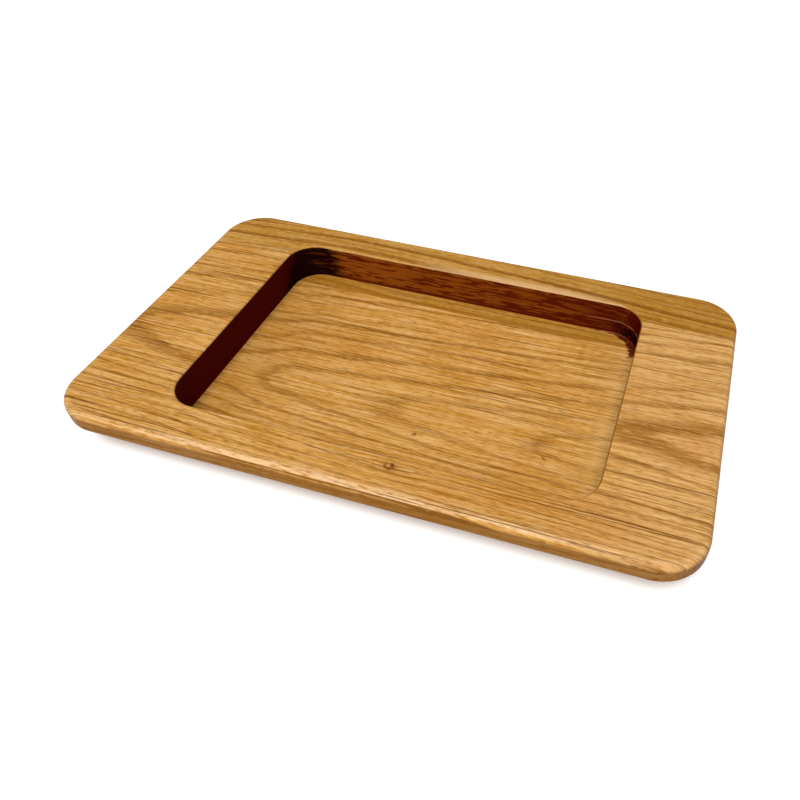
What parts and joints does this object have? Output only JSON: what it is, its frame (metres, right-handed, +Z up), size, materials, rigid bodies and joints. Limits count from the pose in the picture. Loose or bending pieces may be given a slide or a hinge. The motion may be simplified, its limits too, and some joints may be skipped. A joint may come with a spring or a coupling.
{
  "type": "serving tray",
  "caption": "Rectangular oak serving tray with rounded corners, a finger bevel under its edge and a routed rectangular recess in its top face.",
  "frame": {"origin": "centre of the underside, which is the centre of the bounding box's base", "axes": "+X along the tray's long side and the grain, +Y towards the rear edge with the glue line, +Z up through the open top of the recess"},
  "size_m": [0.3, 0.176, 0.0255],
  "materials": {
    "oak_main_stave": "oiled oak, satin",
    "oak_rear_stave": "oiled oak, satin"
  },
  "bodies": {
    "root": {"main_stave": "oak_main_stave", "rear_stave": "oak_rear_stave"}
  },
  "joints": []
}
